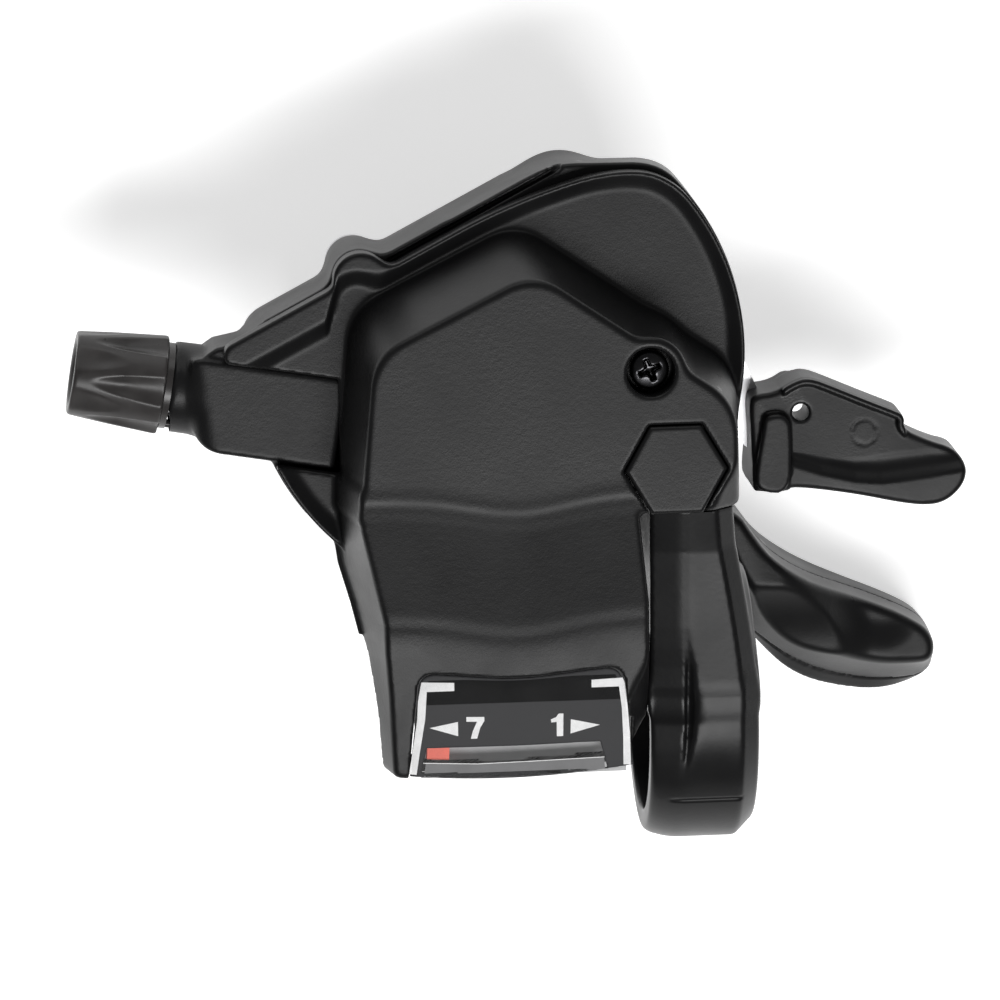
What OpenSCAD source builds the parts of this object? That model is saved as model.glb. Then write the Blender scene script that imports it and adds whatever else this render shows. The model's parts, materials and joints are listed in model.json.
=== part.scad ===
// Under-bar trigger shifter for a right-hand handlebar grip, 7 speeds.
// The origin is on the bar's axis, inside the handlebar clamp. +X runs along the bar towards the grip,
// +Y points forward, away from the rider, and +Z points up.

/* [Handlebar clamp] */
// Radius of the handlebar that the clamp grips
bar_r = 11.1; // [11.0:0.05:11.2]
// Wall thickness of the clamp band
band_t = 2.8; // [2.5:0.1:3.2]
// Left face of the clamp band
band_left = -6; // [-6:0.1:-5.5]
// Right face of the clamp band
band_right = 4.4; // [4.2:0.1:4.6]
// Width of the bevel along the band's right edges
band_bevel = 1.7; // [1.2:0.1:1.8]
// Gap between the two ears of the clamp
ear_gap = 2.4; // [1.6:0.2:3]
// Clamp bolt, distance along the bar
bolt_x = -3.8; // [-4:0.1:-3.6]
// Clamp bolt, distance forward of the bar's axis
bolt_y = 25.1; // [24.9:0.1:25.3]

/* [Mechanism] */
// Main axle, distance along the bar
axle_x = -19.5; // [-19.7:0.1:-19.3]
// Main axle, distance forward of the bar's axis
axle_y = 34.8; // [34.6:0.1:35]
// Radius of the main axle
axle_r = 3; // [2.8:0.1:3]
// Number of gears
gears = 7; // [6:1:7]
// Turn of the cable spool from one gear to the next
step_angle = 21; // [18:1:21]
// Distance from the axle to the middle of the cable on the spool
cable_r = 8.1; // [8:0.1:8.2]
// Radius over the ratchet teeth
ratchet_r = 8.6; // [8.4:0.1:8.7]
// Thickness of the steel ratchets, pawls and levers
steel_t = 1.4; // [1.2:0.1:1.4]

/* [Indicator] */
// Distance from the main axle back to the pointer's pivot
pointer_back = 13; // [12.8:0.1:13.2]
// Distance from the pointer's pivot to the red tip
pointer_len = 25; // [24.5:0.1:25.2]
// Swing of the pointer to each side of the middle
pointer_swing = 16; // [15:0.5:16]
// Distance of the crank pin from the main axle
crank_r = 4.9; // [4.8:0.1:5]

/* [Housing] */
// Outer radius of the housing about the main axle
house_r = 23.6; // [23.3:0.1:23.7]
// Wall thickness of the mouldings
wall = 1.8; // [1.6:0.1:2]
// Height of the hood's flat top
hood_top_z = 20; // [19.8:0.1:20.4]
// Height of the joint between the housing and its cover
joint_z = 7.6; // [7.4:0.1:7.8]
// Distance from the main axle to the housing's straight front wall
front_d = 13.3; // [13:0.1:13.5]
// Direction of that wall, from the bar's direction
front_angle = 27.2; // [26.5:0.1:28]

/* [Cable exit] */
// Direction of the cable's exit, from the bar's direction
exit_angle = -10; // [-10.5:0.5:-9.5]
// Height of the cable above the bar's axis
cable_z = 3; // [2.8:0.1:3.2]
// Radius of the socket for the cable's outer casing
socket_r = 2.55; // [2.5:0.05:2.6]
// Depth of that socket
socket_len = 6; // [5.5:0.5:6]
// Radius of the adjuster's screw
screw_r = 2.5; // [2.4:0.1:2.5]

/* [Hidden] */

$fn = 64;
run = 0.05;                                 // running clearance at a pivot, on the radius
axle = [axle_x, axle_y];
bolt = [bolt_x, bolt_y];
front_dir = [cos(front_angle), sin(front_angle)];
front_out = [-sin(front_angle), cos(front_angle)];

// heights of the layers, from the hood down to the bottom cover
rim_z = 10;
deck_z = 9.2;
pointer_z = 12.6;
pointer_t = 1.2;
hub_top_z = 12.2;
floor_z = -0.4;
house_z = -2;
plate_z = -3.4;
index_z = -5.2;
drive_z = -8.8;
lever_z = -10.6;
washer_z = -11;
nut_z = -13.4;
bottom_z = -15.6;
ear_top_z = 13.9;                           // the clamp's ears
ear_low_z = -5.2;
facet_z = 16.4;                             // the flat on the band beside the hood
tab_t = 2;                                  // the ear's tab under the cover screw
screw_post_r = 2.2;
plate_far_y = 50.8;                         // the base plate ends here, inside the housing's outline
pawl_pin_r = 1.3;
release_pin_r = 1.8;
neck_r = 4.7;                               // the spool's neck, which carries the ratchets
neck_room_r = 5.1;                          // the round hole it turns in
bushing_r = 3.6;
cable_hole_r = 1.2;
nut_r = 8 / sqrt(3);                        // corner radius of an 8 mm hexagon nut

// places in plan
cover_screw_at = [-6, 34.4];
house_screws_at = [[-32.3, 42.4], [-9.6, 48.4], [-31.4, 18.8]];
release_at = [0.5, 34.6];                   // pivot of the release lever
hold_at = axle + 12.6 * [cos(30), sin(30)]; // pivot of the hold pawl
drive_at = axle + 12.6 * [cos(190), sin(190)];  // pivot of the drive pawl, on the main lever
pointer_at = axle - [0, pointer_back];
hold_angle = 62;                            // where the hold pawl's tip meets the ratchet
drive_angle = 218;                          // where the drive pawl's tip meets its ratchet
crank_rest = 90 - step_angle * (gears - 1) / 2;

// Outline through corners [x, y, radius], each rounded by an arc
function unit(v) = v / norm(v);
function flat(p) = [p[0], p[1]];
function round_corner(before, at, after, steps) =
    let (a = unit(flat(before) - flat(at)), b = unit(flat(after) - flat(at)),
        half = acos(a * b) / 2, c = flat(at) + unit(a + b) * at[2] / sin(half),
        p = flat(at) + a * at[2] / tan(half) - c, q = flat(at) + b * at[2] / tan(half) - c,
        start = atan2(p[1], p[0]), turn = (atan2(q[1], q[0]) - start + 540) % 360 - 180)
    [for (i = [0:steps]) c + at[2] * [cos(start + turn * i / steps), sin(start + turn * i / steps)]];
function rounded(p, steps = 4) =
    [for (i = [0:len(p) - 1])
        each round_corner(p[(i + len(p) - 1) % len(p)], p[i], p[(i + 1) % len(p)], steps)];
// Point on the straight front wall, at distance s along it and d out from the axle
function front(s, d) = axle + s * front_dir + d * front_out;

// A flat piece of outline p from height z, t thick
module plate(p, z, t) {
    translate([0, 0, z]) linear_extrude(t) polygon(p);
}
// A round bar from height z, standing at a place in plan
module post(at, r, z, t) {
    translate([at[0], at[1], z]) cylinder(r = r, h = t);
}
// A flat link with round ends
module link(a, ra, b, rb, z, t) {
    hull() {
        post(a, ra, z, t, $fn = 32);
        post(b, rb, z, t, $fn = 32);
    }
}
// Local frame of the cable's exit: z runs along the cable, into the housing
module exit_frame(s) {
    translate([axle_x + cable_r * sin(exit_angle), axle_y - cable_r * cos(exit_angle), cable_z])
        rotate([0, 0, exit_angle]) rotate([0, 90, 0]) translate([0, 0, s]) children();
}
// The bar's own cylinder, used to keep the parts clear of it
module bar(r, x0, x1) {
    translate([x0, 0, 0]) rotate([0, 90, 0]) cylinder(r = r, h = x1 - x0, $fn = 96);
}

// ---- Housing, cover and what closes them ----

// Region behind the straight front wall, with the wall at distance d and the far corner rounded
function front_at(y, d) = front((y - axle_y - d * cos(front_angle)) / sin(front_angle), d);
function house_region(d, top, r) = rounded([[-60, 12, 0.1], [20, 12, 0.1], [20, 43, 0.1],
    [axle_x + 15.1, top - 2.2, 1], concat(front_at(top, d), r), concat(front(-38, d), 0.1)]);
module house_block(inset, z, t) {
    intersection() {
        post(axle, house_r - inset, z, t, $fn = 96);
        plate(house_region(front_d - inset, 53.4 - inset, 5), z, t);
    }
}
// Room for the clamp's ears at the right of the housing
ear_room = [[-9.2, 0], [30, 0], [30, 30.4], [-9.2, 30.4]];
tunnel_from = -29.4;
tunnel_half = 4.5;
insert_r = 3.1;
key_at = 3.6;                               // the collar's two guide pins, from the cable's axis
key_r = 0.4;

module main_housing() color([0.13, 0.13, 0.135]) difference() {
    union() {
        difference() {
            union() {
                house_block(0, house_z, joint_z - house_z);
                post(house_screws_at[0], 2.8, house_z, joint_z - house_z);
            }
            house_block(wall, floor_z, joint_z - floor_z + 1);
        }
        for (at = house_screws_at) post(at, 2.4, house_z, joint_z - house_z);
        post(cover_screw_at, screw_post_r, house_z, ear_top_z - tab_t - house_z);
        exit_frame(tunnel_from) translate([-4, -tunnel_half, 0])
            cube([8.5, 2 * tunnel_half, 16]);
        exit_frame(tunnel_from - 0.4) cylinder(r = 4.3, h = 4);
    }
    plate(ear_room, house_z - 1, 12);
    post(axle, neck_room_r, house_z - 1, 4);
    for (at = house_screws_at) post(at, 1.1, house_z - 1, 12);
    post(cover_screw_at, 1.25, 2, ear_top_z);
    exit_frame(tunnel_from - 1) cylinder(r = insert_r, h = 10);
    exit_frame(tunnel_from) cylinder(r = cable_hole_r, h = 30);
    for (side = [-1, 1]) exit_frame(tunnel_from - 1) translate([0, side * key_at, 0])
        cylinder(r = key_r + run, h = 8, $fn = 24);
}

// Outline of the hood, at its foot and at its flat top, drawn in by a wall thickness where asked
function hood_outline(foot, in) = rounded(foot
    ? [[-35 + in, 20 + in, 0.5], [-33.8 + in, 38.4 - in, 2.5], [-17.4, 47 - in, 2.5],
        [2.9 - in, 33.6 - in, 2.5], [3.1 - in, 20 + in, 0.5]]
    : [[-33.2 + in, 21.6, 0.5], [-32 + in, 36.2 - in, 2], [-16.6, 44 - in, 2],
        [2 - in, 31.4 - in, 2], [2 - in, 25.2, 1], [-0.6, 21.2 + in, 0.4], [-20, 21.2 + in, 0.4]]);
module hood_mechanism(in, top) {
    hull() {
        plate(hood_outline(true, in), deck_z, 0.01);
        plate(hood_outline(false, in), top, 0.01);
    }
}
// One cross-section of the display's hood: its width at the foot and at the top
module hood_section(y, foot_z, foot_x, top_z, top_x) {
    translate([0, y, 0]) rotate([90, 0, 0]) linear_extrude(0.01)
        polygon([[foot_x[0], foot_z], [foot_x[1], foot_z], [top_x[1], top_z], [top_x[0], top_z]]);
}
bend_y = 9.5;
bend_z = 16.6;
front_y = -5.2;
front_z = 15.1;
face_tilt = atan((bend_z - front_z) / (bend_y - front_y));
module hood_display(in, front_in) {
    hull() {
        hood_section(22.6, deck_z, [-35 + in, -6.3 - in], hood_top_z - in, [-33.2 + in, -7.4 - in]);
        hood_section(bend_y, deck_z, [-33.2 + in, -6.3 - in], bend_z - in, [-31.2 + in, -6.4 - in]);
    }
    hull() {
        hood_section(bend_y, deck_z, [-33.2 + in, -6.3 - in], bend_z - in, [-31.2 + in, -6.4 - in]);
        hood_section(front_y + front_in, deck_z, [-30.4 + in, -6.3 - in], front_z - in,
            [-29.6 + in, -6.3 - in]);
    }
}
cap_r = 4.9;

module top_cover() color([0.15, 0.15, 0.155]) difference() {
    union() {
        difference() {
            union() {
                house_block(0.9, joint_z, rim_z - joint_z);
                post(house_screws_at[0], 2.6, joint_z, rim_z - joint_z);
            }
            house_block(0.9 + wall, deck_z, 2);
        }
        hood_mechanism(0, hood_top_z);
        hood_display(0, 0);
    }
    difference() {
        union() {
            hood_mechanism(wall, hood_top_z - wall);
            hood_display(wall, -1);
            plate(hood_outline(true, wall), joint_z - 0.1, deck_z - joint_z + 0.2);
        }
        post(cover_screw_at, 2.9, ear_top_z, 10);
        post(pointer_at, 2.2, 14.2, 10);
        post(house_screws_at[2], 2.4, joint_z - 1, 6.4);
    }
    exit_frame(tunnel_from - 5) translate([-20, -tunnel_half - 0.2, 0])
        cube([40, 2 * tunnel_half + 0.4, 15.6 + 5.8]);
    plate([[-9, -20], [30, -20], [30, 20.9], [-9, 20.9]], -5, 16.2);
    plate([[-6.25, -20], [30, -20], [30, 21], [-6.25, 21]], -5, 40);
    plate([[-9.2, 10], [2, 10], [2, 30.2], [-0.9, 32.2], [-2.6, 35], [-9.2, 35]], -5, ear_top_z + 5.1);
    bar(bar_r + 0.5, -50, 10);
    post(cover_screw_at, 1.3, 10, 12);
    post(cover_screw_at, screw_post_r + 0.1, 0, ear_top_z);
    post(cover_screw_at, 2.5, 17.2, 12);
    post(pointer_at, 1, 13, 4.4);
    for (at = house_screws_at) post(at, 1, 0, at[1] < 20 ? 13 : rim_z - 0.7);
    translate([bolt_x, bolt_y, ear_top_z]) cylinder(r = cap_r + 0.05, h = 10, $fn = 6);
    translate([-28.2, -7, 12]) cube([19.6, 12.6, 10]);
}

// A flat slab that lies parallel to the display's face, depth under it
module face_slab(x0, x1, y0, y1, depth, t) {
    translate([0, bend_y, bend_z]) rotate([face_tilt, 0, 0])
        translate([x0, y0 - bend_y, -depth - t]) cube([x1 - x0, y1 - y0, t]);
}
module indicator_lens() color([0.75, 0.77, 0.78]) face_slab(-28.1, -8.7, -5.1, 5.3, 0.1, 0.8);
module indicator_label() color([0.2, 0.2, 0.21]) difference() {
    face_slab(-28.1, -8.7, -5, 5.3, 0.92, 0.2);
    translate([-27.6, -3.9, 10]) cube([17, 2.2, 10]);
}
module indicator_floor() color([0.1, 0.1, 0.1]) difference() {
    plate([[-27.9, -5], [-8.4, -5], [-8.4, 16], [-29.8, 16], [-29.3, 9]], 8, 4.2);
    bar(bar_r + 0.5, -50, 10);
    plate([[-60, 11], [0, 11], [0, 30], [-60, 30]], 0, 11.2);
}
module hex_cap() color([0.14, 0.14, 0.145]) difference() {
    translate([bolt_x, bolt_y, 18]) cylinder(r = cap_r, h = 2.3, $fn = 6);
    translate([bolt_x, bolt_y, 17]) cylinder(r = cap_r - 1.2, h = 2.2, $fn = 6);
}

// A screw that points down from the top of its head
module screw(at, head_r, head_h, shank_r, top, length) {
    difference() {
        union() {
            post(at, head_r, top - head_h, head_h);
            post(at, shank_r, top - length, length);
        }
        for (a = [0, 90]) translate([at[0], at[1], top]) rotate([0, 0, a + 20])
            cube([head_r, 0.55, 1.6], center = true);
    }
}
module cover_screw() color([0.06, 0.06, 0.065]) screw(cover_screw_at, 2.2, 1.6, 1.2, 18.8, 14);
module housing_screws() color([0.7, 0.7, 0.7]) for (at = house_screws_at)
    translate([0, 0, plate_z - 1.4]) mirror([0, 0, 1]) screw(at, 2, 1.4, 0.95, 0, at[1] < 20 ? 14 : 11.5);

// ---- Clamp ----

upper_ear = [[-5.9, 2, 0.2], [band_right - 0.2, 2, 0.2], [1.9, 18, 4], [1.4, 29, 4],
    [-8.4, 29.8, 4], [-8.6, 22.6, 1], [-5.9, 21.4, 0.5]];
lower_ear = [[band_left, 6, 0.2], [band_right - 0.2, 6, 0.2], [1.2, 20, 4], [0.9, 29.6, 4],
    [-8.4, 29.6, 4], [-8, 19, 4]];
module clamp_band() color([0.11, 0.11, 0.115]) difference() {
    union() {
        bar(bar_r + band_t, band_left, band_right);
        plate(rounded(upper_ear), 0, ear_top_z);
        plate(rounded(lower_ear), ear_low_z, -ear_low_z);
        // the band's back rises to a flat beside the hood
        intersection() {
            plate(rounded(upper_ear), 0, facet_z);
            translate([-20, 0, 0]) rotate([90, 0, 90]) linear_extrude(40) polygon([[0, ear_top_z - 2],
                [3, ear_top_z], [16.5, facet_z], [20.6, facet_z], [20.6, ear_top_z - 2]]);
        }
        link(bolt, 4.6, cover_screw_at, screw_post_r, ear_top_z - tab_t, tab_t);
    }
    bar(bar_r, -20, 20);
    translate([-20, 2, -ear_gap / 2]) cube([40, 40, ear_gap]);
    post(bolt, 2.55, -20, 40);
    post(cover_screw_at, 1.3, 0, 40);
    for (side = [0, 1]) mirror([0, 0, side]) translate([band_right, 0, bar_r + band_t])
        rotate([0, 45, 0]) cube([band_bevel * sqrt(2), 60, 4], center = true);
}
module clamp_bolt() color([0.55, 0.55, 0.56]) difference() {
    union() {
        post(bolt, 2.5, ear_low_z, 22.6);
        post(bolt, 4.25, -8.7, 8.7 + ear_low_z);
    }
    translate([bolt_x, bolt_y, -9]) cylinder(r = 4 / sqrt(3), h = 2.6, $fn = 6);
}
module clamp_nut() color([0.6, 0.6, 0.6]) difference() {
    translate([bolt_x, bolt_y, ear_top_z]) cylinder(r = nut_r, h = 3.9, $fn = 6);
    post(bolt, 2.5, 10, 10);
}

// ---- Plates, axle and fixed pins ----

// A round block under the housing, cut along the front wall and where the bar passes
module lower_block(r, d, z, t) {
    intersection() {
        post(axle, r, z, t, $fn = 96);
        plate(house_region(d, 60, 0.5), z, t);
        plate([[-60, 15], [30, 15], [30, 80], [-60, 80]], z, t);
    }
}
module base_plate() color([0.62, 0.63, 0.64]) difference() {
    union() {
        lower_block(19.4, 11.4, plate_z, house_z - plate_z);
        post(release_at, 3.2, plate_z, house_z - plate_z);
        post(house_screws_at[0], 2.6, plate_z, house_z - plate_z);
        post(house_screws_at[2], 2.6, plate_z, house_z - plate_z);
    }
    plate(ear_room, -10, 20);
    plate([[-60, plate_far_y], [30, plate_far_y], [30, 80], [-60, 80]], -10, 20);
    post(axle, neck_room_r, -10, 20);
    for (at = house_screws_at) post(at, 1.1, -10, 20);
    post(release_at, release_pin_r, -10, 20);
    post(hold_at, pawl_pin_r, -10, 20);
}
module bottom_cover() color([0.12, 0.12, 0.125]) difference() {
    lower_block(20.4, 11, bottom_z, plate_z - bottom_z);
    difference() {
        lower_block(20.4 - wall, 11 - wall, bottom_z + 1.4, 20);
        post(axle, 3.4, bottom_z, 1.9);
    }
    plate([[-9.2, 0], [30, 0], [30, 15.4], [-9.2, 15.4]], bottom_z - 1, 20);
    plate([[-14, 0], [40, 0], [40, 44], [-14, 44]], -11.3, 20);
    for (at = house_screws_at) post(at, 2.6, -6, 20);
    post(axle, 1.5, bottom_z - 1, 20);
}
module bottom_screw() color([0.06, 0.06, 0.065]) mirror([0, 0, 1])
    screw(axle, 2.6, 1, 1.25, 1 - bottom_z, 6);
module pivot_axle() color([0.68, 0.68, 0.7]) difference() {
    post(axle, axle_r, nut_z - 0.3, hub_top_z - nut_z + 0.3);
    post(axle, 1.25, nut_z - 1, 5);
}
module axle_washer() color([0.7, 0.7, 0.7]) difference() {
    post(axle, neck_r, washer_z, lever_z - washer_z);
    post(axle, axle_r, washer_z - 1, 3);
}
module axle_nut() color([0.6, 0.6, 0.6]) difference() {
    translate([axle_x, axle_y, nut_z]) cylinder(r = nut_r, h = washer_z - nut_z, $fn = 6);
    post(axle, axle_r, nut_z - 1, 6);
}
module spool_bushing() color([0.8, 0.78, 0.7]) difference() {
    post(axle, bushing_r, drive_z + 0.1, hub_top_z - drive_z - 0.3);
    post(axle, axle_r, drive_z - 1, 30);
}
module pointer_pivot() color([0.7, 0.7, 0.7]) {
    post(pointer_at, 1, pointer_z - 0.3, 17.2 - pointer_z);
    post(pointer_at, 1.7, pointer_z - 0.7, 0.5);
}
module hold_pawl_pin() color([0.7, 0.7, 0.7]) {
    post(hold_at, pawl_pin_r, index_z - 0.3, house_z - index_z + 0.3);
    post(hold_at, 2, index_z - 0.8, 0.5);
}
module release_lever_pin() color([0.7, 0.7, 0.7]) {
    post(release_at, release_pin_r, index_z - 0.3, house_z - index_z + 0.3);
    post(release_at, 2.8, index_z - 0.8, 0.5);
}
module adjuster_insert() color([0.72, 0.6, 0.3]) exit_frame(tunnel_from + 0.2) difference() {
    cylinder(r = insert_r, h = 8.6);
    translate([0, 0, -1]) cylinder(r = screw_r + run, h = 12);
}

// A torsion spring: one wire that runs in along a leg, round its turns and out along the other leg
module torsion_spring(at, coil_r, wire_r, turns, z, leg, first) {
    steps = 16;
    pitch = 2.1 * wire_r;
    last = turns * steps;
    // each stop is the wire's middle and the way out from the spring's axis
    coil = [for (i = [0:last]) let (a = first + 360 * i / steps)
        [[coil_r * cos(a), coil_r * sin(a), wire_r + pitch * i / steps], [cos(a), sin(a), 0]]];
    stops = concat([[coil[0][0] + leg * [sin(first), -cos(first), 0], coil[0][1]]], coil,
        [[coil[last][0] + leg * [-sin(first + 360 * turns), cos(first + 360 * turns), 0], coil[last][1]]]);
    sides = 8;
    rings = len(stops);
    points = [for (s = stops, k = [0:sides - 1])
        s[0] + wire_r * (cos(360 * k / sides) * s[1] + [0, 0, sin(360 * k / sides)])];
    skin = [for (i = [0:rings - 2], k = [0:sides - 1]) let (n = (k + 1) % sides)
        each [[i * sides + k, (i + 1) * sides + n, i * sides + n],
            [i * sides + k, (i + 1) * sides + k, (i + 1) * sides + n]]];
    ends = [[for (k = [0:sides - 1]) k], [for (k = [sides - 1:-1:0]) (rings - 1) * sides + k]];
    translate([at[0], at[1], z]) polyhedron(points, concat(skin, ends));
}
module main_lever_spring() color([0.75, 0.75, 0.76])
    torsion_spring(axle, 5.6, 0.5, 2.25, nut_z - 0.7, 7, 100);
module release_lever_spring() color([0.75, 0.75, 0.76])
    torsion_spring(release_at, 3.2, 0.25, 2.5, index_z - 2.1, 3.4, 100);
module hold_pawl_spring() color([0.75, 0.75, 0.76])
    torsion_spring(hold_at, 2.4, 0.25, 2.25, index_z - 1.9, 2.6, 0);
module drive_pawl_spring() color([0.75, 0.75, 0.76])
    torsion_spring(drive_at, 1.8, 0.2, 2.25, drive_z + steel_t + 0.1, 3, 120);

// ---- Cable spool and what turns with it ----

module cable_spool() color([0.85, 0.85, 0.83]) difference() {
    union() {
        post(axle, 9.8, 0, 6);
        post(axle, 6.2, 0, hub_top_z);
        post(axle, neck_r, drive_z, -drive_z);
    }
    translate([axle_x, axle_y, cable_z]) rotate_extrude($fn = 96)
        polygon([[cable_r - 0.8, -0.8], [11, -1.8], [11, 1.8], [cable_r - 0.8, 0.8]]);
    post(axle, bushing_r + run, drive_z - 1, 40);
    translate([axle_x, axle_y, 0]) rotate([0, 0, crank_rest])
        translate([crank_r, 0, hub_top_z - 3]) cylinder(r = 0.75, h = 10, $fn = 32);
    translate([axle_x, axle_y, cable_z]) rotate([0, 0, 250]) translate([7, 0, 0])
        cylinder(r = 1.7, h = 10);
}
// A disc with one notch for each gear, the last at angle at: each notch has a steep face that the
// pawl holds or pushes, and a ramp that lets the pawl ride out the other way
module ratchet(z, at) {
    root = ratchet_r - 1.2;
    first = at - step_angle * (gears - 1);
    notches = [for (i = [0:gears - 1], k = [0, 1]) let (a = first + step_angle * (i + 0.2 * k))
        axle + (k == 0 ? root : ratchet_r) * [cos(a), sin(a)]];
    plain_from = first + step_angle * gears;
    rest = [for (i = [0:23]) let (a = plain_from + (first + 356 - plain_from) * i / 23)
        axle + (root + 0.4) * [cos(a), sin(a)]];
    difference() {
        plate(concat(notches, rest), z, steel_t);
        post(axle, neck_r, z - 1, 4);
    }
}
module index_ratchet() color([0.7, 0.7, 0.71]) ratchet(index_z, hold_angle);
module drive_ratchet() color([0.7, 0.7, 0.71]) ratchet(drive_z, drive_angle);
module crank_pin() color([0.7, 0.7, 0.7]) translate([axle_x, axle_y, 0]) rotate([0, 0, crank_rest])
    translate([crank_r, 0, hub_top_z - 3]) cylinder(r = 0.75, h = 4.9, $fn = 32);

// The pointer swings about its pivot: a fork reaches back to the crank pin, the tip to the display
module pointer_frame() {
    translate([pointer_at[0], pointer_at[1], pointer_z]) rotate([0, 0, -pointer_swing]) children();
}
// The red block at the pointer's end, set back towards square with the window
tip_turn = 12;
module tip_block(z, t) {
    translate([0, 0.2 - pointer_len, z]) rotate([0, 0, tip_turn]) translate([-1.05, -0.9, 0])
        cube([2.1, 1.9, t]);
}
module indicator_pointer() color([0.85, 0.85, 0.83]) pointer_frame() difference() {
    union() {
        cylinder(r = 2.6, h = pointer_t);
        translate([-1, -pointer_len + 1, 0]) cube([2, pointer_len - 1, pointer_t]);
        linear_extrude(pointer_t) polygon([[-2, 0], [2, 0], [2, 16.4], [1.3, 18], [-1.3, 18], [-2, 16.4]]);
    }
    translate([0, 0, -1]) cylinder(r = 1 + run, h = 4);
    translate([-1, 14.8, -1]) cube([2, 5, 4]);
    tip_block(-1, pointer_t + 2);
}
module pointer_tip() color([0.9, 0.32, 0.27]) pointer_frame()
    tip_block(0, pointer_t);

// ---- Main lever ----

arm_bend = [1.6, 15.6];
arm_end = [7.4, 9.4];
arm_t = 1.6;
arm_hub_r = 6.4;
arm_bend_r = 2;
arm_end_r = 1.4;
module main_lever_arm() color([0.8, 0.8, 0.81]) difference() {
    union() {
        link(axle, arm_hub_r, arm_bend, arm_bend_r, lever_z, arm_t);
        link(arm_bend, arm_bend_r, arm_end, arm_end_r, lever_z, arm_t);
        link(axle, 6, drive_at, 2.6, lever_z, arm_t);
    }
    post(axle, axle_r + run, lever_z - 1, 4);
    post(drive_at, pawl_pin_r, lever_z - 1, 4);
}
// Middle line of the paddle, from the steel arm to the tip: place and radius
paddle_line = [[7.2, 10.6, -12.2, 3.4], [12, 7, -15.6, 4.6], [19, 3.2, -17.8, 4.6], [21.6, 1.2, -18, 3.9]];
module ball_at(p, r) {
    translate([p[0], p[1], p[2]]) sphere(r = r, $fn = 28);
}
module main_lever_paddle() color([0.11, 0.11, 0.115]) difference() {
    union() {
        for (i = [0:2]) hull() {
            ball_at(paddle_line[i], paddle_line[i][3]);
            ball_at(paddle_line[i + 1], paddle_line[i + 1][3]);
        }
        hull() {
            ball_at(paddle_line[1] - [0, -1, 6], 3);
            ball_at(paddle_line[2] - [0, -1, 6], 3);
            ball_at(paddle_line[1], 4);
            ball_at(paddle_line[2], 4);
        }
    }
    hull() {
        ball_at([11, 10.4, -11], 3.2);
        ball_at([19.4, 6.2, -12.6], 3.4);
    }
    link(arm_bend, arm_bend_r, arm_end, arm_end_r, lever_z, arm_t);
    link(axle, arm_hub_r, arm_bend, arm_bend_r, lever_z, arm_t);
    translate([-20, -20, lever_z + arm_t + 0.6]) cube([60, 60, 10]);
}
module drive_pawl_pin() color([0.7, 0.7, 0.7]) {
    post(drive_at, pawl_pin_r, lever_z, drive_z + 3.4 - lever_z);
}
// A pawl from its pin to a tip beside the ratchet, drawn just clear of the teeth
module pawl(pivot, tip_angle, z) {
    tip = axle + (ratchet_r + 0.95) * [cos(tip_angle), sin(tip_angle)];
    difference() {
        union() {
            link(pivot, 2.3, tip, 0.7, z, steel_t);
            children();
        }
        post(pivot, pawl_pin_r + run, z - 1, 4);
    }
}
module drive_pawl() color([0.72, 0.72, 0.73]) pawl(drive_at, drive_angle, drive_z);

// ---- Release lever ----

release_bend = [6.4, 24.4];
release_end = [14.5, 22.2];
module release_blade() {
    link(release_at, 3, release_bend, 1.8, index_z, steel_t);
    link(release_bend, 1.8, release_end, 1.6, index_z, steel_t);
}
module release_lever_arm() color([0.85, 0.85, 0.86]) difference() {
    union() {
        release_blade();
        link(release_at, 2.4, [-3.1, 38.3], 0.9, index_z, steel_t);
    }
    post(release_at, release_pin_r + run, index_z - 1, 4);
}
web_outline = [[5.8, 18.8, 0.6], [9.4, 18.2, 0.6], [10.4, 19.4, 1], [18, 18.4, 1], [24.6, 16.8, 1.4],
    [26.4, 18.6, 1.2], [26, 20.6, 1], [20, 23.1, 0.4], [20.1, 26, 1], [11.4, 29.4, 1],
    [9.2, 28.4, 0.6], [6.2, 28.7, 0.8]];
module release_lever_paddle() color([0.12, 0.12, 0.125]) difference() {
    plate(rounded(web_outline), -7.6, 9.6);
    plate(rounded([[10.4, 21.6, 0.8], [18.6, 22.2, 0.8], [18.8, 25, 0.8], [11.6, 27.8, 0.8]]), 0.4, 4);
    plate([[9.4, 21.2], [30, 21.9], [30, 40], [9.4, 40]], -10, 4.2);
    release_blade();
    post([10.6, 26.2], 0.85, -20, 40, $fn = 32);
}
module hold_pawl() color([0.72, 0.72, 0.73]) pawl(hold_at, hold_angle, index_z)
    link(hold_at, 2.2, [-5.3, 37.35], 1, index_z, steel_t);

// ---- Barrel adjuster ----

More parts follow.
